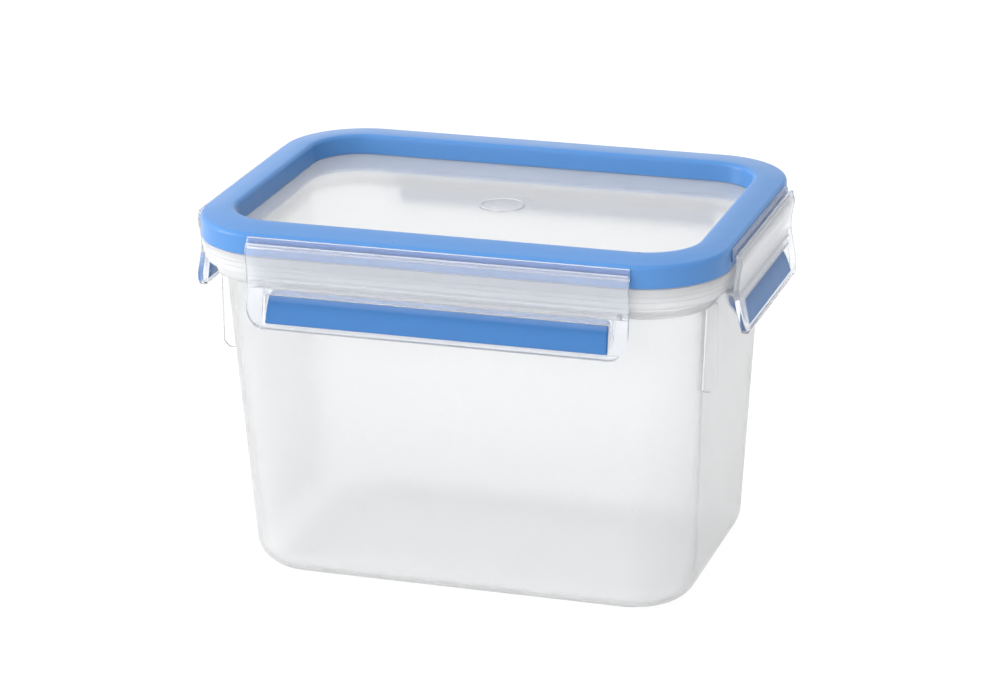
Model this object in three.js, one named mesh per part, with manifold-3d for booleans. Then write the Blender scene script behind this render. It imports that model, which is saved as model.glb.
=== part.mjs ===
// Snap lid food container: a tall translucent box, a lid with a blue rim, and four hinged clips.
// Millimetres, +Z up. X runs along the long side and the front faces -Y.
// The origin is on the table, under the middle of the box.

import * as THREE from "three";
import { mergeVertices } from "three/addons/utils/BufferGeometryUtils.js";
import Module from "manifold-3d";

const wasm = await Module();
wasm.setup();

// ---- Driving dimensions ----

const CLEARANCE = 0.3; // between two pieces that touch
const CORNER_STEPS = 9; // facets in a quarter turn of the box's corners
const ROUND_STEPS = 5; // facets in a small quarter turn

// The lid's skirt is the widest outline of box and lid, and the rim's other outlines follow it.
const SKIRT = { halfX: 98.5, halfY: 71.3, corner: 30.8, bottom: 130.3, top: 138.3 };

// The mouth of the recess in the lid, where the blue rim is highest.
const CREST = { halfX: 87, halfY: 56.8, corner: 19.3, top: 139.4 };

const PANEL_TOP = 132;
const PANEL_THICKNESS = 1.5;
const EMBLEM = { radius: 8.5, width: 1.1, height: 0.35, y: 5.5, steps: 32 };

// The box tapers: each half width grows by its slope per millimetre of height.
const BASE = { halfX: 84.1, halfY: 54, corner: 23, fillet: 9.5 };
const SLOPE = { x: 0.048, y: 0.056, corner: -0.03 };
const WALL = 1.6;
const FLOOR = 2;

// The box's rim: a shoulder under a downturned flange. Insets are measured in from the lid's skirt.
const RIM_TOP = SKIRT.bottom - CLEARANCE;
const FLANGE = { bottom: 121.8, innerInset: 3.6, roof: 2.4 };
const SHOULDER = { bottom: 117.3, inset: 5.3, round: 0.6 };
const NECK_WALL = 2.4;

// The flange's outer face as [inset, height]: three bands, each standing further out.
const FLANGE_FACE = [
  [2.2, FLANGE.bottom],
  [1.3, 122.9],
  [1.1, 124.7],
  [0.6, 125.1],
  [0.6, 126.7],
  [0.2, 127.1],
  [0.2, RIM_TOP - 0.4],
  [0.6, RIM_TOP],
];

// Stops on the short walls that keep nested boxes from jamming.
const FIN = { tipX: 93.6, y: -40, thickness: 2, bottom: 83.5, tipCut: 2.2 };

// The lid's hidden parts: the panel's border inside the blue rim, and the lip inside the box's neck.
const RIM_BORDER = { inset: 3, outset: 2.6, top: 136 };
const LIP = { bottom: 123.4, thickness: 1.8, bead: 0.5 };

// Clips, in a frame of their own: "out" is measured from the skirt's flat side.
const FRONT_CLIP_LENGTH = 141;
const SIDE_CLIP_LENGTH = 81;
const HINGE = { out: 2.5, z: 134.9, knuckle: 0.9 };
const LAND = { top: 137.4, root: 0.9, above: 1.1, below: 0.6, bottom: 132.7 };
const CLIP_BOTTOM = 104.4;
const CLIP_CORNER = 8.5;
const TIP = { out: 4.25, z: 106.2, radius: 1.6 };
const HOOK = { root: 2, tip: -3.3, chamfer: 0.9 };
const WINDOW = { margin: 6.8, top: 119.1, bottom: 106.6 };

// The clip plate's faces as [out, height] from the hinge down: it bows out, waists in, then flares.
const PLATE_OUTER = [
  [3.35, 134.6],
  [3.9, 132.6],
  [3.2, 127.5],
  [2.8, 122.5],
  [3.3, 118.4],
  [4.5, 112],
  [5.3, 107.4],
];
const PLATE_INNER = [
  [1.7, 134.5],
  [1.75, 132],
  [1.2, 127.5],
  [0.9, 122.5],
  [1.35, 118.4],
  [2.4, 112],
  [3.2, 107.4],
];

// The grip fills the window and leans back at the top, as [out, height].
const GRIP_TOP = WINDOW.top - CLEARANCE;
const GRIP_BOTTOM = WINDOW.bottom + CLEARANCE;
const GRIP_OUTER = [
  [-0.9, 118],
  [2.2, 113],
  [4.7, GRIP_BOTTOM],
];
const GRIP_INNER = [
  [-2.9, 115.6],
  [1.2, 110.6],
  [3.2, GRIP_BOTTOM],
];
const GRIP_ROOT = { outer: -1.2, inner: -3.1 };

const PLASTICS = {
  box: { color: 0xe9ebed, roughness: 0.35, metalness: 0 },
  lid: { color: 0xdfe4ee, roughness: 0.3, metalness: 0 },
  rim: { color: 0x6b9ad4, roughness: 0.45, metalness: 0 },
  seal: { color: 0xdfe4f6, roughness: 0.5, metalness: 0 },
  grip: { color: 0x5b92d1, roughness: 0.55, metalness: 0 },
};

// ---- Making solids ----

// One level of a lofted piece: a rounded rectangle at one height.
function level(halfX, halfY, corner, z) {
  const points = [];
  const centres = [
    [1, 1],
    [-1, 1],
    [-1, -1],
    [1, -1],
  ];
  centres.forEach(([signX, signY], quarter) => {
    for (let step = 0; step <= CORNER_STEPS; step++) {
      const angle = (quarter + step / CORNER_STEPS) * (Math.PI / 2);
      const x = signX * (halfX - corner) + corner * Math.cos(angle);
      const y = signY * (halfY - corner) + corner * Math.sin(angle);
      points.push(x, y, z);
    }
  });
  return points;
}

// A level that follows the lid's skirt, set in by a distance.
function skirtLevel(inset, z) {
  return level(SKIRT.halfX - inset, SKIRT.halfY - inset, SKIRT.corner - inset, z);
}

// A level that follows the mouth of the lid's recess, set out by a distance.
function mouthLevel(outset, z) {
  return level(CREST.halfX + outset, CREST.halfY + outset, CREST.corner + outset, z);
}

// A level on the box's tapering wall, set in by a distance.
function wallLevel(inset, z) {
  const halfX = BASE.halfX + SLOPE.x * z - inset;
  const halfY = BASE.halfY + SLOPE.y * z - inset;
  return level(halfX, halfY, BASE.corner + SLOPE.corner * z - inset, z);
}

// A solid through the levels in order. A ring joins its last level to its first, and any other
// loft is closed by a flat face across its first and last levels.
function loft(levels, isRing = false) {
  const around = levels[0].length / 3;
  const position = levels.flat();
  const index = [];
  const bands = isRing ? levels.length : levels.length - 1;
  for (let band = 0; band < bands; band++) {
    const low = band * around;
    const high = ((band + 1) % levels.length) * around;
    for (let i = 0; i < around; i++) {
      const next = (i + 1) % around;
      index.push(low + i, low + next, high + next);
      index.push(low + i, high + next, high + i);
    }
  }
  if (!isRing) {
    const last = (levels.length - 1) * around;
    for (let i = 1; i < around - 1; i++) {
      index.push(0, i + 1, i);
      index.push(last, last + i, last + i + 1);
    }
  }
  const geometry = new THREE.BufferGeometry();
  geometry.setAttribute("position", new THREE.Float32BufferAttribute(position, 3));
  geometry.setIndex(index);
  return geometry;
}

// A flat outline pushed along Z, centred on the XY plane.
function prism(points, length) {
  const shape = new THREE.Shape(points.map(([x, y]) => new THREE.Vector2(x, y)));
  const geometry = new THREE.ExtrudeGeometry(shape, { depth: length, bevelEnabled: false });
  return geometry.translate(0, 0, -length / 2);
}

// A section drawn as [out, height], pushed along X, with "out" towards -Y.
function bar(section, length) {
  const mirrored = section.map(([out, z]) => [-out, z]);
  return prism(mirrored, length).rotateX(Math.PI / 2).rotateZ(Math.PI / 2);
}

function block(minX, maxX, minY, maxY, minZ, maxZ) {
  const geometry = new THREE.BoxGeometry(maxX - minX, maxY - minY, maxZ - minZ);
  return geometry.translate((minX + maxX) / 2, (minY + maxY) / 2, (minZ + maxZ) / 2);
}

// An arc as [x, y] points, from one angle to another in degrees.
function arc(centreX, centreY, radius, from, to, steps = ROUND_STEPS) {
  return Array.from({ length: steps + 1 }, (_, step) => {
    const angle = THREE.MathUtils.degToRad(from + ((to - from) * step) / steps);
    return [centreX + radius * Math.cos(angle), centreY + radius * Math.sin(angle)];
  });
}

// A smooth line through a few points, as [x, y] points.
function smooth(points, steps) {
  const curve = new THREE.SplineCurve(points.map(([x, y]) => new THREE.Vector2(x, y)));
  return curve.getPoints(steps).map((point) => [point.x, point.y]);
}

// ---- Joining and cutting ----

function toSolid(geometry) {
  const plain = geometry.clone();
  plain.deleteAttribute("normal");
  plain.deleteAttribute("uv");
  const merged = mergeVertices(plain, 1e-4);
  const mesh = new wasm.Mesh({
    numProp: 3,
    vertProperties: new Float32Array(merged.attributes.position.array),
    triVerts: new Uint32Array(merged.index.array),
  });
  return new wasm.Manifold(mesh);
}

function toGeometry(solid) {
  const { vertProperties, triVerts } = solid.getMesh();
  const geometry = new THREE.BufferGeometry();
  geometry.setAttribute("position", new THREE.BufferAttribute(vertProperties, 3));
  geometry.setIndex(new THREE.BufferAttribute(triVerts, 1));
  geometry.computeVertexNormals();
  return geometry;
}

function join(...geometries) {
  return toGeometry(geometries.map(toSolid).reduce((all, solid) => all.add(solid)));
}

function cut(geometry, ...tools) {
  return toGeometry(tools.map(toSolid).reduce((left, tool) => left.subtract(tool), toSolid(geometry)));
}

function keepInside(geometry, limit) {
  return toGeometry(toSolid(geometry).intersect(toSolid(limit)));
}

function piece(name, geometry, plastic) {
  const mesh = new THREE.Mesh(geometry, new THREE.MeshStandardMaterial(PLASTICS[plastic]));
  mesh.name = name;
  return mesh;
}

// ---- The box ----

// The fillet between a flat floor and the wall, as levels from the floor up.
function filletLevels(radius, inset, floorZ) {
  return arc(0, 0, radius, -90, 0).map(([across, up]) =>
    wallLevel(inset + radius - across, floorZ + radius + up),
  );
}

function fin(side) {
  const rootX = BASE.halfX + SLOPE.x * FIN.bottom - WALL / 2;
  const top = SHOULDER.bottom + WALL / 2;
  const outline = [
    [rootX, FIN.bottom],
    [FIN.tipX - FIN.tipCut, FIN.bottom],
    [FIN.tipX, FIN.bottom + FIN.tipCut],
    [FIN.tipX, top],
    [rootX, top],
  ];
  const plate = prism(outline, FIN.thickness).rotateX(Math.PI / 2);
  if (side < 0) plate.rotateZ(Math.PI);
  return plate.translate(0, FIN.y, 0);
}

function makeContainerBody() {
  const neckInside = SHOULDER.inset + NECK_WALL;
  const neckRound = 0.4;
  const roof = RIM_TOP - FLANGE.roof;
  const shell = loft([
    ...filletLevels(BASE.fillet, 0, 0),
    wallLevel(0, SHOULDER.bottom - 2),
    wallLevel(-SHOULDER.round, SHOULDER.bottom - 0.3),
    skirtLevel(SHOULDER.inset + SHOULDER.round, SHOULDER.bottom),
    skirtLevel(SHOULDER.inset, SHOULDER.bottom + SHOULDER.round),
    skirtLevel(SHOULDER.inset, roof),
    skirtLevel(FLANGE.innerInset, roof),
    skirtLevel(FLANGE.innerInset, FLANGE.bottom),
    ...FLANGE_FACE.map(([inset, z]) => skirtLevel(inset, z)),
    skirtLevel(neckInside - neckRound, RIM_TOP),
    skirtLevel(neckInside, RIM_TOP - neckRound),
    skirtLevel(neckInside, SHOULDER.bottom + NECK_WALL),
    wallLevel(WALL, SHOULDER.bottom - 0.5),
    ...filletLevels(BASE.fillet - FLOOR, WALL, FLOOR).reverse(),
  ]);
  return join(shell, fin(1), fin(-1));
}

// ---- The lid ----

function makeLidPanel() {
  const tray = loft([
    skirtLevel(RIM_BORDER.inset, PANEL_TOP - PANEL_THICKNESS),
    skirtLevel(RIM_BORDER.inset, RIM_BORDER.top),
    mouthLevel(RIM_BORDER.outset, RIM_BORDER.top),
    mouthLevel(RIM_BORDER.outset, PANEL_TOP),
  ]);
  return join(tray, makeEmblem());
}

// A raised ring in the middle of the panel.
function makeEmblem() {
  const inner = EMBLEM.radius - EMBLEM.width;
  const root = PANEL_TOP - PANEL_THICKNESS / 2;
  const top = PANEL_TOP + EMBLEM.height;
  const section = [
    [inner, root],
    [EMBLEM.radius, root],
    [EMBLEM.radius, top],
    [inner, top],
    [inner, root],
  ];
  const profile = section.map(([radius, z]) => new THREE.Vector2(radius, z));
  const ring = new THREE.LatheGeometry(profile, EMBLEM.steps);
  return ring.rotateX(Math.PI / 2).translate(0, EMBLEM.y, 0);
}

function makeLidRim() {
  const borderTop = RIM_BORDER.top + CLEARANCE;
  const borderOutset = RIM_BORDER.outset - CLEARANCE;
  const skirtInside = RIM_BORDER.inset - CLEARANCE;
  const wallBottom = PANEL_TOP + CLEARANCE;
  const edge = 0.3;
  return loft(
    [
      skirtLevel(0, SKIRT.bottom + edge),
      skirtLevel(0, SKIRT.top - 0.8),
      skirtLevel(0.3, SKIRT.top - 0.1),
      skirtLevel(1, SKIRT.top + 0.3),
      mouthLevel(3.4, CREST.top - 0.1),
      mouthLevel(1, CREST.top),
      mouthLevel(0.2, CREST.top - 0.3),
      mouthLevel(-0.2, CREST.top - 1),
      mouthLevel(-1, wallBottom),
      mouthLevel(borderOutset, wallBottom),
      mouthLevel(borderOutset, borderTop),
      skirtLevel(skirtInside, borderTop),
      skirtLevel(skirtInside, SKIRT.bottom),
      skirtLevel(edge, SKIRT.bottom),
    ],
    true,
  );
}

// The lip hangs from the panel inside the box's neck, with a soft bead around its end.
function makeSealingLip() {
  const top = PANEL_TOP - PANEL_THICKNESS - CLEARANCE;
  const beadInset = SHOULDER.inset + NECK_WALL + CLEARANCE;
  const outer = beadInset + LIP.bead;
  const inner = outer + LIP.thickness;
  return loft(
    [
      skirtLevel(beadInset, LIP.bottom + 0.8),
      skirtLevel(beadInset, LIP.bottom + 1.8),
      skirtLevel(outer, LIP.bottom + 2.6),
      skirtLevel(outer, top),
      skirtLevel(inner, top),
      skirtLevel(inner - 0.8, LIP.bottom + 0.6),
      skirtLevel(inner - 1.5, LIP.bottom),
    ],
    true,
  );
}

// ---- The clips ----

function makeHingeLand(length) {
  const reach = HINGE.out - HINGE.knuckle - CLEARANCE;
  const section = [
    [CLEARANCE, LAND.top],
    [LAND.root, LAND.top - 0.1],
    [reach, HINGE.z + LAND.above],
    [reach, HINGE.z - LAND.below],
    [CLEARANCE, LAND.bottom],
  ];
  return bar(section, length);
}

function makeClip(length) {
  const knuckle = arc(HINGE.out, HINGE.z, HINGE.knuckle, 200, -20, 8);
  const outer = smooth(PLATE_OUTER, 20).slice(1);
  const tip = arc(TIP.out, TIP.z, TIP.radius, 45, -225, 8);
  const inner = smooth(PLATE_INNER, 20).reverse();
  const plate = bar([...knuckle, ...outer, ...tip, ...inner], length);
  const hookTop = FLANGE.bottom - 0.5;
  const hook = bar(
    [
      [HOOK.root, hookTop],
      [HOOK.tip + HOOK.chamfer, hookTop],
      [HOOK.tip, hookTop - HOOK.chamfer],
      [HOOK.tip, WINDOW.top],
      [HOOK.root, WINDOW.top],
    ],
    length,
  );
  const opening = length / 2 - WINDOW.margin;
  const reach = 8;
  const window = block(-opening, opening, -reach, 0, WINDOW.bottom, WINDOW.top);
  const framed = cut(join(plate, hook), window);
  return keepInside(framed, clipOutline(length));
}

// The clip seen square on: straight sides, and round corners at the bottom.
function clipOutline(length) {
  const half = length / 2;
  const corner = CLIP_CORNER;
  const outline = [
    [half, HINGE.z + 5],
    [-half, HINGE.z + 5],
    ...arc(corner - half, CLIP_BOTTOM + corner, corner, 180, 270),
    ...arc(half - corner, CLIP_BOTTOM + corner, corner, 270, 360),
  ];
  const depth = 30;
  return prism(outline, depth).rotateX(Math.PI / 2);
}

function makeGrip(length) {
  const steps = 6;
  const section = [
    [GRIP_ROOT.outer, GRIP_TOP],
    ...smooth(GRIP_OUTER, steps),
    ...smooth(GRIP_INNER, steps).reverse(),
    [GRIP_ROOT.inner, GRIP_TOP],
  ];
  return bar(section, length - 2 * WINDOW.margin - 2 * CLEARANCE);
}

// The four sides of the lid: how far out each flat side is, and which way it faces.
const SIDES = [
  { name: "front", reach: SKIRT.halfY, turn: 0, length: FRONT_CLIP_LENGTH },
  { name: "right", reach: SKIRT.halfX, turn: Math.PI / 2, length: SIDE_CLIP_LENGTH },
  { name: "back", reach: SKIRT.halfY, turn: Math.PI, length: FRONT_CLIP_LENGTH },
  { name: "left", reach: SKIRT.halfX, turn: -Math.PI / 2, length: SIDE_CLIP_LENGTH },
];

function makeSide({ name, reach, turn, length }) {
  const side = new THREE.Group();
  side.add(piece(`${name}_hinge_land`, makeHingeLand(length), "lid"));
  side.add(piece(`${name}_clip`, makeClip(length), "lid"));
  side.add(piece(`${name}_grip`, makeGrip(length), "grip"));
  side.children.forEach((mesh) => mesh.position.set(0, -reach, 0));
  side.rotation.z = turn;
  return side;
}

// ---- The whole container ----

const container = new THREE.Group();
container.add(piece("container_body", makeContainerBody(), "box"));
container.add(piece("lid_panel", makeLidPanel(), "lid"));
container.add(piece("lid_rim", makeLidRim(), "rim"));
container.add(piece("sealing_lip", makeSealingLip(), "seal"));
SIDES.forEach((side) => container.add(makeSide(side)));

export default container;
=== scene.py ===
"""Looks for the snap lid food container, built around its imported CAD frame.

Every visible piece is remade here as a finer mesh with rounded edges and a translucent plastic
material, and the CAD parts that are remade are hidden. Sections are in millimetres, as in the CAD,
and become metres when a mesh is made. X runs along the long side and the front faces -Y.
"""

import math

import bmesh
import bpy
import numpy as np
from mathutils import Matrix, Vector


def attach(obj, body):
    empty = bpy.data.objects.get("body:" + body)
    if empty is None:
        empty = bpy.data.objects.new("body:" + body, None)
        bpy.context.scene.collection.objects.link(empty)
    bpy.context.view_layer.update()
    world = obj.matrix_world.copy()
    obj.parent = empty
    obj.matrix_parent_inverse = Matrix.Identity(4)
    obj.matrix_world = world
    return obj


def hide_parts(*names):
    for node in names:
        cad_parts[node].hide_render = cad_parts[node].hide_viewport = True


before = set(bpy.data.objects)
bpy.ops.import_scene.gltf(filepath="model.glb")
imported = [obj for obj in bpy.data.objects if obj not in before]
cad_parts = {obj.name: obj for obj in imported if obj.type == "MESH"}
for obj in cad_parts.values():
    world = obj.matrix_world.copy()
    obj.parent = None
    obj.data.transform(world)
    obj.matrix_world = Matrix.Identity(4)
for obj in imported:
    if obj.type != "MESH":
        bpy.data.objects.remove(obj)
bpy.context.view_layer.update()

MM = 0.001
CORNER_STEPS = 24  # facets in a quarter turn of the box's corners
SIDE_STEPS = 14  # facets along a straight side
FILLET_STEPS = 10  # facets in the round between floor and wall
ROUND_STEPS = 4  # facets in a rounded edge
ROUND_LIMIT = 0.46  # the share of a neighbouring side that a rounded edge may take up
BEVEL_ANGLE = 40  # degrees that an edge turns by before it is rounded off
SHARP_ANGLE = 50  # degrees that an edge turns by before it is shaded as crisp

# ---- Driving dimensions ----

# The lid's skirt is the widest outline of box and lid, and the rim's other outlines follow it.
SKIRT = {"half": (98.5, 71.3), "corner": 30.8, "bottom": 130.3, "top": 138.3}
CREST = {"half": (87.0, 56.8), "corner": 19.3, "top": 139.4}
CLEARANCE = 0.3

PANEL_TOP = 132.0
PANEL_THICKNESS = 1.5
BORDER_INSET = 3.0
BORDER_OUTSET = 2.6
BORDER_TOP = 136.0
EMBLEM = {"radius": 8.5, "width": 1.1, "height": 0.35, "y": 5.5}

BASE = {"half": (84.1, 54.0), "corner": 23.0, "fillet": 9.5}
SLOPE = {"half": (0.048, 0.056), "corner": -0.03}
WALL = 1.6
WALL_LEVELS = (30, 65, 100)  # heights that split the straight wall into shorter faces
FLOOR = 2.0
FLOOR_RISE = 0.5  # how far the middle of the underside is raised

RIM_TOP = SKIRT["bottom"] - CLEARANCE
FLANGE_BOTTOM = 121.8
FLANGE_ROOF = RIM_TOP - 2.4
FLANGE_INNER = 3.6
SHOULDER_BOTTOM = 117.3
SHOULDER_INSET = 5.3
NECK_WALL = 2.4
FIN = {"tip": 93.6, "y": -40.0, "thickness": 2.0, "bottom": 83.5, "cut": 2.2}

# The flange's outer face as (inset from the skirt, height, edge radius), from its foot up.
FLANGE_FACE = [
    (2.1, FLANGE_BOTTOM, 0.4),
    (1.3, 122.9, 0.4),
    (1.1, 124.8, 0.25),
    (0.6, 125.1, 0.25),
    (0.6, 126.8, 0.25),
    (0.2, 127.1, 0.25),
    (0.2, RIM_TOP, 0.5),
]

FRONT_CLIP_LENGTH = 141.0
SIDE_CLIP_LENGTH = 81.0
HINGE = (2.5, 134.9)
KNUCKLE = 0.9
CLIP_BOTTOM = 104.4
CLIP_CORNER = 8.5
TIP = {"out": 4.25, "z": 106.2, "radius": 1.6}
HOOK_TIP = -3.3
HOOK_TOP = FLANGE_BOTTOM - 0.5
HOOK_BOTTOM = 119.12
WINDOW = {"margin": 6.8, "top": 117.4, "bottom": 106.6}
WINDOW_ROWS = 12
WINDOW_COLUMNS = 21
PLATE_EDGE = 0.4  # radius of the rounded ends of the plate and of its hinge strip

# The clip plate's faces as (out, height) from the hinge down. Out is from the skirt's flat side.
PLATE_FOOT = 107.4
PLATE_OUTER = [
    (3.35, 134.6),
    (3.9, 132.6),
    (3.2, 127.5),
    (2.8, 122.5),
    (3.3, 118.4),
    (4.5, 112.0),
    (5.3, PLATE_FOOT),
]
PLATE_INNER = [
    (1.7, 134.5),
    (1.75, 132.0),
    (1.2, 127.5),
    (0.9, 122.5),
    (1.35, 118.4),
    (2.4, 112.0),
    (3.2, PLATE_FOOT),
]

# The sky's brightness on each side and at the horizon, and the heights between which they blend.
SKY = {"left": 0.92, "right": 0.6, "horizon": 1.02, "above": 0.22, "below": 0.1}
LIGHT_AIM = (0, 0, 0.08)
# Each light as (name, place, size, power, seen in reflections), in metres and watts.
LIGHTS = [
    ("left window", (-1.7, 0.7, 1.0), 1.1, 16, False),
    ("front fill", (-0.8, -1.9, 0.7), 1.4, 23, False),
    ("left fill", (-1.7, -0.7, 0.35), 0.9, 14, True),
    ("top light", (0.05, -0.3, 1.6), 0.7, 9, False),
]
# The camera's place about its aim, with angles in degrees, distance in metres and lens in mm.
CAMERA = {
    "yaw": 17.76,
    "elevation": 19.28,
    "roll": -0.68,
    "aim": (0.0003, 0, 0.080),
    "distance": 1.348,
    "lens": 130.4,
}

# ---- Levels: rounded rectangles at one height, as (half x, half y, corner, z) ----


def level(half, corner, offset, z):
    """A rounded rectangle grown by an offset, at height z."""
    return np.array([half[0] + offset, half[1] + offset, corner + offset, z])


def skirt(inset, z):
    """A level that follows the lid's skirt, set in by a distance."""
    return level(SKIRT["half"], SKIRT["corner"], -inset, z)


def mouth(outset, z):
    """A level that follows the mouth of the lid's recess, set out by a distance."""
    return level(CREST["half"], CREST["corner"], outset, z)


def wall(inset, z):
    """A level on the box's tapering wall, set in by a distance."""
    half = [BASE["half"][axis] + SLOPE["half"][axis] * z for axis in (0, 1)]
    return level(half, BASE["corner"] + SLOPE["corner"] * z, -inset, z)


def shrunk(base, share, z):
    """A level at a share of another's size, for the middle of a flat face."""
    smaller = base * share
    smaller[3] = z
    return smaller


def rounded(points, closed=False):
    """Points as (point, radius), in any number of dimensions, with each corner rounded off.

    The last dimension is height, and the largest of the others is the distance across."""
    made = []
    count = len(points)
    for i, (point, radius) in enumerate(points):
        at_end = not closed and i in (0, count - 1)
        if at_end or radius == 0:
            made.append(np.array(point, float))
            continue
        point = np.array(point, float)
        arms = []
        for other in (points[i - 1][0], points[(i + 1) % count][0]):
            arm = np.array(other, float) - point
            length = math.hypot(max(abs(arm[:-1])), arm[-1])
            arms.append(arm * min(radius / length, ROUND_LIMIT))
        for step in range(ROUND_STEPS + 1):
            t = step / ROUND_STEPS
            made.append(point + arms[0] * (1 - t) ** 2 + arms[1] * t ** 2)
    return made


def around(one):
    """The points of a level, anticlockwise from above."""
    half_x, half_y, corner, z = one
    points = []
    for quarter, (sign_x, sign_y) in enumerate([(1, 1), (-1, 1), (-1, -1), (1, -1)]):
        centre = (sign_x * (half_x - corner), sign_y * (half_y - corner))
        for step in range(CORNER_STEPS + 1):
            angle = (quarter + step / CORNER_STEPS) * math.pi / 2
            x = centre[0] + corner * math.cos(angle)
            y = centre[1] + corner * math.sin(angle)
            points.append(Vector((x, y, z)))
        turn = Matrix.Rotation(quarter * math.pi / 2, 3, "Z")
        straight = 2 * (half_x - corner) if quarter % 2 == 0 else 2 * (half_y - corner)
        along = turn @ Vector((-1, 0, 0))
        start = points[-1]
        for step in range(1, SIDE_STEPS):
            points.append(start + along * straight * step / SIDE_STEPS)
    return points


# ---- Meshes ----


def to_object(name, bm, material):
    """A bmesh in millimetres becomes a smooth object in metres."""
    bmesh.ops.scale(bm, vec=(MM, MM, MM), verts=bm.verts)
    bmesh.ops.recalc_face_normals(bm, faces=bm.faces)
    mesh = bpy.data.meshes.new(name)
    bm.to_mesh(mesh)
    bm.free()
    mesh.shade_smooth()
    mesh.materials.append(material)
    made = bpy.data.objects.new(name, mesh)
    bpy.context.collection.objects.link(made)
    return made


def weigh_normals(made):
    """Keeps flat faces flat in the shading, beside the small rounds next to them."""
    modifier = made.modifiers.new("weighted normals", "WEIGHTED_NORMAL")
    modifier.keep_sharp = True
    modifier.weight = 60


def bevel(made, width, segments):
    """Rounds the edges between faces that meet at a clear angle."""
    modifier = made.modifiers.new("rounded edges", "BEVEL")
    modifier.width = width * MM
    modifier.segments = segments
    modifier.limit_method = "ANGLE"
    modifier.angle_limit = math.radians(BEVEL_ANGLE)
    modifier.use_clamp_overlap = True


def stitch(bm, here, there, skipped=()):
    """Faces between two closed loops of vertices, without the skipped ones."""
    for i in range(len(here)):
        if i in skipped:
            continue
        j = (i + 1) % len(here)
        bm.faces.new((here[i], here[j], there[j], there[i]))


def slab(outlines, place=Matrix()):
    """A flat plate between two outlines of the same shape, moved to a place."""
    bm = bmesh.new()
    near, far = [[bm.verts.new(point) for point in outline] for outline in outlines]
    bm.faces.new(near)
    bm.faces.new(far)
    stitch(bm, near, far)
    bmesh.ops.transform(bm, matrix=place, verts=bm.verts)
    return bm


def loft(name, levels, material, ring=False):
    """A solid through levels. A ring joins its last level to its first, others are capped."""
    bm = bmesh.new()
    loops = [[bm.verts.new(point) for point in around(one)] for one in levels]
    pairs = list(zip(loops, loops[1:]))
    if ring:
        pairs.append((loops[-1], loops[0]))
    else:
        bm.faces.new(loops[0])
        bm.faces.new(loops[-1])
    for low, high in pairs:
        stitch(bm, low, high)
    made = to_object(name, bm, material)
    weigh_normals(made)
    return made


def arc(centre, radius, start, end, steps):
    """Points on an arc, from one angle to another in degrees."""
    points = []
    for step in range(steps + 1):
        angle = math.radians(start + (end - start) * step / steps)
        points.append((centre[0] + radius * math.cos(angle), centre[1] + radius * math.sin(angle)))
    return points


def curve_at(points, z):
    """How far out a face given by a few (out, height) points is at a height, smoothly."""
    points = sorted(points, key=lambda point: point[1])
    heights = [point[1] for point in points]
    outs = [point[0] for point in points]
    slopes = np.gradient(outs, heights)
    i = min(max(np.searchsorted(heights, z) - 1, 0), len(points) - 2)
    span = heights[i + 1] - heights[i]
    t = min(max((z - heights[i]) / span, 0.0), 1.0)
    near = (2 * t ** 3 - 3 * t ** 2 + 1) * outs[i] + (t ** 3 - 2 * t ** 2 + t) * span * slopes[i]
    far = (3 * t ** 2 - 2 * t ** 3) * outs[i + 1] + (t ** 3 - t ** 2) * span * slopes[i + 1]
    return near + far


# ---- Materials ----


def feed(tree, socket, value):
    """Links a socket to another one, or gives it a value."""
    if isinstance(value, bpy.types.NodeSocket):
        tree.links.new(value, socket)
    else:
        socket.default_value = value


def node(tree, kind, **inputs):
    """A new shader node, with its inputs fed by name."""
    made = tree.nodes.new(kind)
    for name, value in inputs.items():
        feed(tree, made.inputs[name.replace("_", " ")], value)
    return made


def mapped(tree, value, low, high, start=0.0, end=1.0):
    """A socket that runs from low to high while another runs from start to end."""
    made = node(
        tree,
        "ShaderNodeMapRange",
        Value=value,
        From_Min=start,
        From_Max=end,
        To_Min=low,
        To_Max=high,
    )
    return made.outputs["Result"]


def mixed(tree, share, first, second, kind="RGBA"):
    """Two colours or two numbers, mixed by a 0 to 1 socket."""
    mix = tree.nodes.new("ShaderNodeMix")
    mix.data_type = kind
    feed(tree, mix.inputs["Factor"], share)
    feed(tree, mix.inputs["A"], first)
    feed(tree, mix.inputs["B"], second)
    return mix.outputs["Result"]


def object_height(tree):
    """A socket with the height of the shaded point in its own piece, in metres."""
    place = node(tree, "ShaderNodeTexCoord").outputs["Object"]
    return node(tree, "ShaderNodeSeparateXYZ", Vector=place).outputs["Z"]


def plastic(name, first, second, roughness, sockets, grain=900, bump=0.02):
    """A moulded plastic: cloudy colour, uneven gloss and a fine moulded grain."""
    unevenness = 0.2
    grain_depth = 0.0002
    material = bpy.data.materials.new(name)
    material.use_nodes = True
    tree = material.node_tree
    shader = tree.nodes["Principled BSDF"]
    place = node(tree, "ShaderNodeTexCoord").outputs["Object"]
    clouds = node(tree, "ShaderNodeTexNoise", Vector=place, Scale=18, Detail=4.0)
    grains = node(tree, "ShaderNodeTexNoise", Vector=place, Scale=grain, Detail=2.0)
    flow = node(tree, "ShaderNodeTexNoise", Vector=place, Scale=108, Detail=3.0)
    colour = mixed(tree, clouds.outputs["Fac"], (*first, 1), (*second, 1))
    feed(tree, shader.inputs["Base Color"], colour)
    glossiest = roughness * (1 - unevenness)
    dullest = roughness * (1 + unevenness)
    feed(tree, shader.inputs["Roughness"], mapped(tree, flow.outputs["Fac"], glossiest, dullest))
    relief = node(
        tree,
        "ShaderNodeBump",
        Strength=bump,
        Distance=grain_depth,
        Height=grains.outputs["Fac"],
    )
    feed(tree, shader.inputs["Normal"], relief.outputs["Normal"])
    for socket, value in sockets.items():
        shader.inputs[socket].default_value = value
    return material


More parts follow.
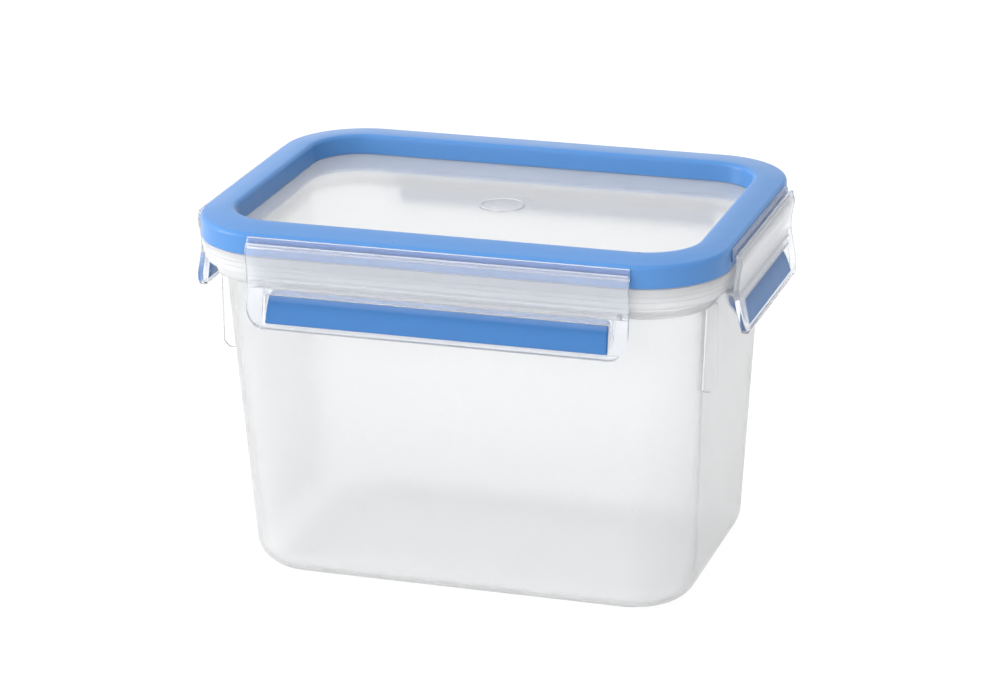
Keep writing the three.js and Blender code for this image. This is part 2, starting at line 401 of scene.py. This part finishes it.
def thicken(material, steps):
    """Makes a clear plastic hazier where it is moulded thicker.

    Steps are (height, transmission), and the transmission runs straight from one to the next."""
    tree = material.node_tree
    height = object_height(tree)
    clear = steps[0][1]
    for (low, before), (high, after) in zip(steps, steps[1:]):
        change = mapped(tree, height, 0, after - before, low * MM, high * MM)
        total = node(tree, "ShaderNodeMath")
        feed(tree, total.inputs[0], clear)
        feed(tree, total.inputs[1], change)
        clear = total.outputs["Value"]
    feed(tree, tree.nodes["Principled BSDF"].inputs["Transmission Weight"], clear)


def paint_top_highlight(material, low, high, highlight_colour):
    """Painted highlight: turns the colour paler from one height to another, standing in for the
    light that falls on a rounded top.
    """
    tree = material.node_tree
    base = tree.nodes["Principled BSDF"].inputs["Base Color"]
    colour = base.links[0].from_socket
    share = mapped(tree, object_height(tree), 0, 1, low * MM, high * MM)
    feed(tree, base, mixed(tree, share, colour, (*highlight_colour, 1)))


MATERIALS = {
    "box": plastic(
        "milky box plastic",
        (0.935, 0.94, 0.947),
        (0.95, 0.955, 0.962),
        0.24,
        {"IOR": 1.36},
    ),
    "panel": plastic(
        "clear lid plastic",
        (0.945, 0.95, 0.96),
        (0.96, 0.965, 0.975),
        0.07,
        {"Transmission Weight": 0.8, "IOR": 1.42},
        bump=0.005,
    ),
    "clip": plastic(
        "clear clip plastic",
        (0.945, 0.96, 1.0),
        (0.955, 0.97, 1.0),
        0.14,
        {"Transmission Weight": 0.87, "IOR": 1.33},
        bump=0.003,
    ),
    "strip": plastic(
        "clear hinge plastic",
        (0.62, 0.74, 0.95),
        (0.65, 0.76, 0.96),
        0.16,
        {"Transmission Weight": 0.84, "IOR": 1.33},
        bump=0.003,
    ),
    "rim": plastic(
        "blue rim plastic",
        (0.068, 0.210, 0.490),
        (0.078, 0.224, 0.510),
        0.3,
        {
            "IOR": 1.38,
            "Sheen Weight": 0.08,
            "Sheen Roughness": 0.35,
        },
        bump=0.015,
    ),
    "seal": plastic(
        "pale soft seal",
        (0.86, 0.89, 0.97),
        (0.88, 0.91, 0.98),
        0.4,
        {"Transmission Weight": 0.4, "IOR": 1.4},
    ),
    "grip": plastic(
        "soft blue grip",
        (0.024, 0.135, 0.365),
        (0.030, 0.147, 0.385),
        0.36,
        {
            "Subsurface Weight": 0.2,
            "Subsurface Scale": 0.002,
            "IOR": 1.45,
            "Sheen Weight": 0.1,
            "Sheen Roughness": 0.3,
        },
        grain=1600,
        bump=0.12,
    ),
}

thicken(
    MATERIALS["box"],
    [(8, 0.83), (50, 0.89), (SHOULDER_BOTTOM - 3, 0.89), (SHOULDER_BOTTOM + 2, 0.64)],
)
thicken(MATERIALS["clip"], [(WINDOW["top"] - 4, 0.97), (WINDOW["top"] + 1, 0.84)])
# Painted highlight: the grips turn paler towards their rounded tops, where light from above falls.
paint_top_highlight(MATERIALS["grip"], WINDOW["top"] - 3.2, WINDOW["top"] - 0.2, (0.20, 0.33, 0.60))

# ---- The box ----


def fillet(radius, inset, floor):
    """The round between a flat floor and the wall, as levels from the floor up."""
    return [
        wall(inset + radius - across, floor + radius + up)
        for across, up in arc((0, 0), radius, -90, 0, FILLET_STEPS)
    ]


def make_box():
    """The box and its two nesting stops. Its levels run up the outside and down the inside."""
    foot = wall(BASE["fillet"], 0)
    inside = wall(WALL + BASE["fillet"] - FLOOR, FLOOR)
    neck = SHOULDER_INSET + NECK_WALL
    low, middle, high = WALL_LEVELS
    profile = rounded(
        [
            (wall(0, high), 0),
            (wall(0, SHOULDER_BOTTOM), 1.4),
            (skirt(SHOULDER_INSET, SHOULDER_BOTTOM), 0.9),
            (skirt(SHOULDER_INSET, FLANGE_ROOF), 0.5),
            (skirt(FLANGE_INNER, FLANGE_ROOF), 0.5),
            (skirt(FLANGE_INNER, FLANGE_BOTTOM), 0.4),
            *[(skirt(inset, z), radius) for inset, z, radius in FLANGE_FACE],
            (skirt(neck, RIM_TOP), 0.6),
            (skirt(neck, SHOULDER_BOTTOM + NECK_WALL), 1.2),
            (wall(WALL, SHOULDER_BOTTOM - 0.5), 1.2),
            (wall(WALL, high), 0),
        ]
    )
    levels = [
        shrunk(foot, 0.4, FLOOR_RISE),
        shrunk(foot, 0.86, FLOOR_RISE),
        shrunk(foot, 0.89, 0),
        *fillet(BASE["fillet"], 0, 0),
        wall(0, low),
        wall(0, middle),
        *profile,
        wall(WALL, middle),
        wall(WALL, low),
        *reversed(fillet(BASE["fillet"] - FLOOR, WALL, FLOOR)),
        shrunk(inside, 0.9, FLOOR),
        shrunk(inside, 0.4, FLOOR),
    ]
    box = loft("box_shell", levels, MATERIALS["box"])
    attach(box, "container")
    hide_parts("container_body")
    for name, side in (("right_nesting_fin", 1), ("left_nesting_fin", -1)):
        fin = make_fin(name, side)
        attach(fin, "container")


def make_fin(name, side):
    """A thin stop on a short wall, from the wall's outer face out to its tip."""
    top = SHOULDER_BOTTOM - 0.1
    touch = 0.05
    bottom = FIN["bottom"]

    def root(z):
        return BASE["half"][0] + SLOPE["half"][0] * z + touch

    outline = [
        (root(bottom), bottom),
        (FIN["tip"] - FIN["cut"], bottom),
        (FIN["tip"], bottom + FIN["cut"]),
        (FIN["tip"], top),
        (root(top), top),
    ]
    faces = (FIN["y"] - FIN["thickness"] / 2, FIN["y"] + FIN["thickness"] / 2)
    plate = slab([[(side * x, y, z) for x, z in outline] for y in faces])
    fin = to_object(name, plate, MATERIALS["box"])
    bevel(fin, 0.5, segments=3)
    weigh_normals(fin)
    return fin


# ---- The lid ----


def make_panel():
    """The clear panel, its border inside the blue rim and the plain ring on it."""
    underside = PANEL_TOP - PANEL_THICKNESS
    beside_border = -6
    border = mouth(BORDER_OUTSET, PANEL_TOP)
    profile = rounded(
        [
            (mouth(beside_border, underside), 0),
            (skirt(BORDER_INSET, underside), 0.5),
            (skirt(BORDER_INSET, BORDER_TOP), 0.5),
            (mouth(BORDER_OUTSET, BORDER_TOP), 0.5),
            (mouth(BORDER_OUTSET, PANEL_TOP), 0.5),
            (mouth(beside_border, PANEL_TOP), 0),
        ]
    )
    levels = [
        shrunk(border, 0.4, underside),
        shrunk(border, 0.75, underside),
        *profile,
        shrunk(border, 0.75, PANEL_TOP),
        shrunk(border, 0.4, PANEL_TOP),
    ]
    panel = loft("lid_panel_shell", levels, MATERIALS["panel"])
    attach(panel, "lid")
    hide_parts("lid_panel")
    emblem = make_emblem()
    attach(emblem, "lid")


def make_emblem():
    """A plain raised ring with a soft top, lying on the panel."""
    steps = 96
    half = EMBLEM["width"] / 2
    middle = EMBLEM["radius"] - half
    touch = 0.02
    section = [
        (middle + half * across, PANEL_TOP + touch + EMBLEM["height"] * up)
        for across, up in arc((0, 0), 1, 180, 0, 10)
    ]
    bm = bmesh.new()
    loops = []
    for step in range(steps):
        angle = 2 * math.pi * step / steps
        loop = []
        for out, z in section:
            x = out * math.cos(angle)
            y = EMBLEM["y"] + out * math.sin(angle)
            loop.append(bm.verts.new((x, y, z)))
        loops.append(loop)
    for here, there in zip(loops, loops[1:] + loops[:1]):
        stitch(bm, here, there)
    return to_object("panel_ring", bm, MATERIALS["panel"])


def make_rim():
    """The blue rim: skirt, crest and the recess's wall, hollow where the panel's border sits."""
    border_top = BORDER_TOP + CLEARANCE
    border_outset = BORDER_OUTSET - CLEARANCE
    inside = BORDER_INSET - CLEARANCE
    foot = PANEL_TOP + 0.02
    levels = rounded(
        [
            (skirt(0, SKIRT["bottom"]), 0.3),
            (skirt(0, SKIRT["top"]), 1.8),
            (mouth(4.5, CREST["top"]), 4),
            (mouth(-0.2, CREST["top"]), 1.6),
            (mouth(-1, foot), 0.4),
            (mouth(border_outset, foot), 0.3),
            (mouth(border_outset, border_top), 0.4),
            (skirt(inside, border_top), 0.4),
            (skirt(inside, SKIRT["bottom"]), 0.3),
        ],
        closed=True,
    )
    rim = loft("blue_rim", levels, MATERIALS["rim"], ring=True)
    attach(rim, "lid")
    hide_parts("lid_rim")


def make_lip():
    """The soft lip that seals against the inside of the neck."""
    top = PANEL_TOP - PANEL_THICKNESS - CLEARANCE
    bead = SHOULDER_INSET + NECK_WALL + CLEARANCE
    bottom = 123.4
    levels = rounded(
        [
            (skirt(bead, bottom + 0.6), 0.6),
            (skirt(bead, bottom + 2.0), 0.6),
            (skirt(bead + 0.5, bottom + 2.8), 0.6),
            (skirt(bead + 0.5, top), 0.2),
            (skirt(bead + 2.3, top), 0.2),
            (skirt(bead + 1.4, bottom), 0.6),
        ],
        closed=True,
    )
    lip = loft("soft_sealing_lip", levels, MATERIALS["seal"], ring=True)
    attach(lip, "lid")
    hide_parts("sealing_lip")


# ---- The clips ----


def inset(section, distance):
    """A closed section drawn in by a distance."""
    points = [Vector(point) for point in section]
    turned = sum(a.x * b.y - b.x * a.y for a, b in zip(points, points[1:] + points[:1]))
    side = 1 if turned > 0 else -1
    made = []
    for i, point in enumerate(points):
        along = points[(i + 1) % len(points)] - points[i - 1]
        inward = Vector((-along.y, along.x)).normalized() * side
        made.append(tuple(point + inward * distance))
    return made


def end_steps(radius):
    """The columns of a rounded end, as how far each stands short of it and is drawn in.

    The outermost comes last."""
    turns = [math.pi / 2 * step / ROUND_STEPS for step in range(1, ROUND_STEPS + 1)]
    return [(radius * (1 - math.sin(turn)), radius * (1 - math.cos(turn))) for turn in turns]


def cap(bm, column, section):
    """Closes an end with a strip of triangles between the two sides of a section."""
    count = len(section)
    top = max(range(count), key=lambda i: section[i][1])
    bottom = min(range(count), key=lambda i: section[i][1])
    first = [(top + i) % count for i in range((bottom - top) % count + 1)]
    second = [(top - i) % count for i in range((top - bottom) % count + 1)]
    a = b = 0
    while a < len(first) - 1 or b < len(second) - 1:
        next_a = section[first[a + 1]][1] if a < len(first) - 1 else -math.inf
        next_b = section[second[b + 1]][1] if b < len(second) - 1 else -math.inf
        if next_a >= next_b:
            corner = first[a + 1]
            step_a, step_b = 1, 0
        else:
            corner = second[b + 1]
            step_a, step_b = 0, 1
        if len({first[a], second[b], corner}) == 3:
            bm.faces.new((column[first[a]], column[second[b]], column[corner]))
        a += step_a
        b += step_b


def bar(name, section, half_length, place, material, radius):
    """A section as (out, height) pushed along X, with rounded ends.

    half_length gives half the length at a height."""
    bm = bmesh.new()
    shares = np.linspace(-1, 1, 25)
    ends = end_steps(radius)
    columns = [(-1, short, drawn) for short, drawn in reversed(ends)]
    columns += [(share, radius, 0) for share in shares]
    columns += [(1, short, drawn) for short, drawn in ends]
    loops = []
    for share, short, drawn in columns:
        loop = []
        for out, z in inset(section, drawn):
            loop.append(bm.verts.new((share * (half_length(z) - short), -out, z)))
        loops.append(loop)
    for here, there in zip(loops, loops[1:]):
        stitch(bm, here, there)
    cap(bm, loops[0], section)
    cap(bm, loops[-1], section)
    bmesh.ops.transform(bm, matrix=place, verts=bm.verts)
    made = to_object(name, bm, material)
    weigh_normals(made)
    return made


def clip_half(half, z):
    """Half the clip's length at a height: straight sides, and round corners at the bottom."""
    above = z - CLIP_BOTTOM
    if above >= CLIP_CORNER:
        return half
    drop = CLIP_CORNER - max(above, 0.0)
    return half - CLIP_CORNER + math.sqrt(CLIP_CORNER ** 2 - drop ** 2)


def clip_section():
    """The clip's section from the hinge down its outer face, round the tip and up the inner face.

    It is a list of (out, height), and comes with the places in it of the window's rows on the
    outer face, from the top down, and on the inner face, from the bottom up."""
    rows = np.linspace(WINDOW["top"], WINDOW["bottom"], WINDOW_ROWS)
    below_knuckle = np.linspace(134.2, WINDOW["top"] + 0.6, 14)
    above_hook = np.linspace(124, 134, 10)
    section = arc(HINGE, KNUCKLE, 200, -20, 10)
    section += [(curve_at(PLATE_OUTER, z), z) for z in below_knuckle]
    outer = range(len(section), len(section) + WINDOW_ROWS)
    section += [(curve_at(PLATE_OUTER, max(z, PLATE_FOOT)), z) for z in rows]
    section += arc((TIP["out"], TIP["z"]), TIP["radius"] - 0.05, 0, -180, 12)
    inner = range(len(section), len(section) + WINDOW_ROWS)
    section += [(curve_at(PLATE_INNER, max(z, PLATE_FOOT)), z) for z in rows[::-1]]
    hook = rounded(
        [
            (section[-1], 0),
            ((curve_at(PLATE_INNER, HOOK_BOTTOM), HOOK_BOTTOM), 0.3),
            ((HOOK_TIP, HOOK_BOTTOM), 0.3),
            ((HOOK_TIP, HOOK_TOP), 0.9),
            ((curve_at(PLATE_INNER, HOOK_TOP), HOOK_TOP), 0.4),
            ((curve_at(PLATE_INNER, 123), 123), 0),
        ]
    )
    section += [tuple(point) for point in hook[1:]]
    section += [(curve_at(PLATE_INNER, z), z) for z in above_hook]
    return section, outer, inner


def make_plate(name, length, place):
    """The clip: a bowed plate with a window, a rounded tip and a hook that catches the flange."""
    section, outer, inner = clip_section()
    half = length / 2
    opening = half - WINDOW["margin"]
    least_frame = 1.2  # plate left beside the window where the lower corners round off
    skin = 0.05  # how far off the inner face the hook counts as standing out of it
    least_hook = 0.04  # the share of the hook's depth that is left at the clip's ends
    bm = bmesh.new()

    def column(x_at, drawn=0, hook=1):
        """Vertices round the section. X follows from the clip's end at each height.

        The section is drawn in by a distance, and the hook has a share of its depth."""
        made = []
        for out, z in inset(section, drawn):
            face = curve_at(PLATE_INNER, z) - skin
            if HOOK_BOTTOM <= z <= HOOK_TOP and out < face:
                out = face + (out - face) * hook
            made.append(bm.verts.new((x_at(clip_half(half, z)), -out, z)))
        return made

    def across_window(x):
        """X inside the window, kept clear of the clip's rounded corners."""
        return lambda end: max(least_frame - end, min(end - least_frame, x))

    def beside_window(side, share, short=PLATE_EDGE):
        """X at a share of the way from the window to just short of the end."""
        return lambda end: side * (
            min(opening, end - least_frame) * (1 - share) + (end - short) * share
        )

    def end_columns(side):
        """The columns from beside the window to the rounded end, where the hook runs out."""
        made = []
        for share, hook in ((0.25, 1), (0.5, 0.35), (0.75, least_hook), (1, least_hook)):
            made.append(column(beside_window(side, share), hook=hook))
        for short, drawn in end_steps(PLATE_EDGE):
            made.append(column(beside_window(side, 1, short), drawn, least_hook))
        return made

    left = end_columns(-1)[::-1]
    window_rows = {*outer[:-1], *inner[:-1]}
    places = np.linspace(-opening, opening, WINDOW_COLUMNS)
    middle = [column(across_window(x)) for x in places]
    right = end_columns(1)
    for frame_part in (left + middle[:1], middle[-1:] + right):
        for here, there in zip(frame_part, frame_part[1:]):
            stitch(bm, here, there)
    for here, there in zip(middle, middle[1:]):
        stitch(bm, here, there, skipped=window_rows)
        # The window's upper and lower edges, through the plate's thickness.
        for front, back in ((outer[0], inner[-1]), (outer[-1], inner[0])):
            bm.faces.new((here[front], here[back], there[back], there[front]))
    # The window's two ends.
    for jamb in (middle[0], middle[-1]):
        for front, back in zip(outer[:-1], inner[:0:-1]):
            bm.faces.new((jamb[front], jamb[front + 1], jamb[back - 1], jamb[back]))
    cap(bm, left[0], section)
    cap(bm, right[-1], section)
    inside_window = [vertex for vertex in bm.verts if not vertex.link_faces]
    bmesh.ops.delete(bm, geom=inside_window, context="VERTS")
    bmesh.ops.transform(bm, matrix=place, verts=bm.verts)
    plate = to_object(name, bm, MATERIALS["clip"])
    plate.data.set_sharp_from_angle(angle=math.radians(SHARP_ANGLE))
    weigh_normals(plate)
    return plate


def make_grip(name, length, place):
    """The soft pad that fills the window, leans back and rounds over at its top."""
    bottom = WINDOW["bottom"] + CLEARANCE
    top = WINDOW["top"] + 0.7
    section = rounded(
        [
            ((-2.9, top), 0.6),
            ((-0.5, top - 0.2), 1.8),
            ((2.7, 113.2), 5),
            ((4.6, bottom), 0.4),
            ((3.2, bottom), 0.3),
            ((1.0, 111.0), 3),
            ((-3.0, 115.6), 1.5),
        ],
        closed=True,
    )
    half = length / 2 - WINDOW["margin"] - CLEARANCE
    corner = 2.4
    lean = 0.05

    def half_at(z):
        straight = half - lean * (z - bottom)
        above = top - z
        if above >= corner:
            return straight
        return straight - corner + math.sqrt(max(corner ** 2 - (corner - above) ** 2, 0))

    return bar(name, section, half_at, place, MATERIALS["grip"], radius=0.7)


def make_strip(name, length, place):
    """The strip of clear plastic that the clip's film hinge grows from."""
    reach = HINGE[0] - KNUCKLE - CLEARANCE
    section = rounded(
        [
            ((0.05, 137.5), 0.1),
            ((0.9, 137.35), 0.3),
            ((reach, 136.0), 0.4),
            ((reach, 134.3), 0.4),
            ((0.05, 132.7), 0.2),
        ],
        closed=True,
    )
    return bar(name, section, lambda z: length / 2, place, MATERIALS["strip"], PLATE_EDGE)


def make_cheek(name, length, side, place):
    """The end wall of the grip's recess, between the plate and the leaning pad."""
    thickness = 1.0
    touch = 0.05
    start = length / 2 - WINDOW["margin"] + touch
    outline = [(curve_at(PLATE_INNER, z) - touch, z) for z in (118.6, 113.0, 109.0)]
    outline += [(0.8, 111.3), (-2.9, 115.8), (-3.1, 118.6)]
    sheets = [[(side * x, -out, z) for out, z in outline] for x in (start, start + thickness)]
    cheek = to_object(name, slab(sheets, place), MATERIALS["clip"])
    bevel(cheek, 0.25, segments=2)
    weigh_normals(cheek)
    return cheek


def make_side(side, reach, turn, length):
    """All the pieces of one side: the hinge strip on the lid, and the clip with its grip."""
    place = Matrix.Rotation(math.radians(turn), 4, "Z") @ Matrix.Translation((0, -reach, 0))
    body = f"{side}_clip"
    strip = make_strip(f"{side}_hinge_strip", length, place)
    plate = make_plate(f"{side}_clip_plate", length, place)
    grip = make_grip(f"{side}_grip_pad", length, place)
    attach(strip, "lid")
    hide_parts(f"{side}_hinge_land")
    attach(plate, body)
    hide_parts(f"{side}_clip")
    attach(grip, body)
    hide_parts(f"{side}_grip")
    for end, sign in (("a", -1), ("b", 1)):
        cheek = make_cheek(f"{side}_recess_cheek_{end}", length, sign, place)
        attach(cheek, body)


make_box()
make_panel()
make_rim()
make_lip()
for side, reach, turn, length in (
    ("front", SKIRT["half"][1], 0, FRONT_CLIP_LENGTH),
    ("right", SKIRT["half"][0], 90, SIDE_CLIP_LENGTH),
    ("back", SKIRT["half"][1], 180, FRONT_CLIP_LENGTH),
    ("left", SKIRT["half"][0], -90, SIDE_CLIP_LENGTH),
):
    make_side(side, reach, turn, length)

# ---- Floor, light and camera ----


def make_floor():
    """A white floor that glows, so that it meets the sky without a seam."""
    half = 4.0
    below = -0.0006
    bm = bmesh.new()
    corners = [(-half, -half), (half, -half), (half, half), (-half, half)]
    bm.faces.new([bm.verts.new((x, y, below)) for x, y in corners])
    mesh = bpy.data.meshes.new("floor")
    bm.to_mesh(mesh)
    bm.free()
    floor = bpy.data.objects.new("floor", mesh)
    bpy.context.collection.objects.link(floor)
    material = bpy.data.materials.new("white floor")
    material.use_nodes = True
    shader = material.node_tree.nodes["Principled BSDF"]
    shader.inputs["Base Color"].default_value = (0.16, 0.16, 0.16, 1)
    shader.inputs["Roughness"].default_value = 0.9
    shader.inputs["Specular IOR Level"].default_value = 0.0
    shader.inputs["Emission Color"].default_value = (1, 1, 1, 1)
    shader.inputs["Emission Strength"].default_value = 0.9
    mesh.materials.append(material)


def make_light(name, place, size, power, reflected):
    """A square lamp, aimed at the box."""
    light = bpy.data.lights.new(name, "AREA")
    light.shape = "SQUARE"
    light.size = size
    light.energy = power
    made = bpy.data.objects.new(name, light)
    made.location = place
    direction = Vector(LIGHT_AIM) - Vector(place)
    made.rotation_euler = direction.to_track_quat("-Z", "Y").to_euler()
    made.visible_glossy = reflected
    bpy.context.collection.objects.link(made)


def make_world():
    """A white sky, brighter on the left and brightest all round the horizon, to meet the floor."""
    world = bpy.data.worlds.new("white studio")
    world.use_nodes = True
    tree = world.node_tree
    background = tree.nodes["Background"]
    background.inputs["Color"].default_value = (1, 1, 1, 1)
    toward = node(tree, "ShaderNodeTexCoord").outputs["Generated"]
    parts = node(tree, "ShaderNodeSeparateXYZ", Vector=toward).outputs
    sky = mapped(tree, parts["X"], SKY["left"], SKY["right"], start=-1.0)
    share = mapped(tree, parts["Z"], 0, 1, SKY["above"], SKY["below"])
    glow = mixed(tree, share, sky, SKY["horizon"], kind="FLOAT")
    feed(tree, background.inputs["Strength"], glow)
    bpy.context.scene.world = world


def make_camera():
    """The photograph's view: from the front, to the right and above, with a long lens."""
    yaw = math.radians(CAMERA["yaw"])
    elevation = math.radians(CAMERA["elevation"])
    roll = math.radians(CAMERA["roll"])
    back = Vector(
        (
            math.sin(yaw) * math.cos(elevation),
            -math.cos(yaw) * math.cos(elevation),
            math.sin(elevation),
        )
    )
    level_right = Vector((math.cos(yaw), math.sin(yaw), 0))
    level_up = back.cross(level_right)
    right = level_right * math.cos(roll) + level_up * math.sin(roll)
    up = level_up * math.cos(roll) - level_right * math.sin(roll)
    data = bpy.data.cameras.new("camera")
    data.sensor_width = 36
    data.sensor_fit = "HORIZONTAL"
    data.lens = CAMERA["lens"]
    camera = bpy.data.objects.new("camera", data)
    turn = Matrix((right, up, back)).transposed().to_4x4()
    place = Vector(CAMERA["aim"]) + back * CAMERA["distance"]
    camera.matrix_world = Matrix.Translation(place) @ turn
    bpy.context.collection.objects.link(camera)
    bpy.context.scene.camera = camera


make_floor()
make_world()
for row in LIGHTS:
    make_light(*row)
make_camera()

scene = bpy.context.scene
scene.view_settings.view_transform = "Standard"
scene.cycles.use_denoising = True
scene.cycles.sample_clamp_indirect = 3.0
scene.cycles.max_bounces = 24
scene.cycles.transmission_bounces = 24
scene.cycles.glossy_bounces = 12
scene.cycles.diffuse_bounces = 8
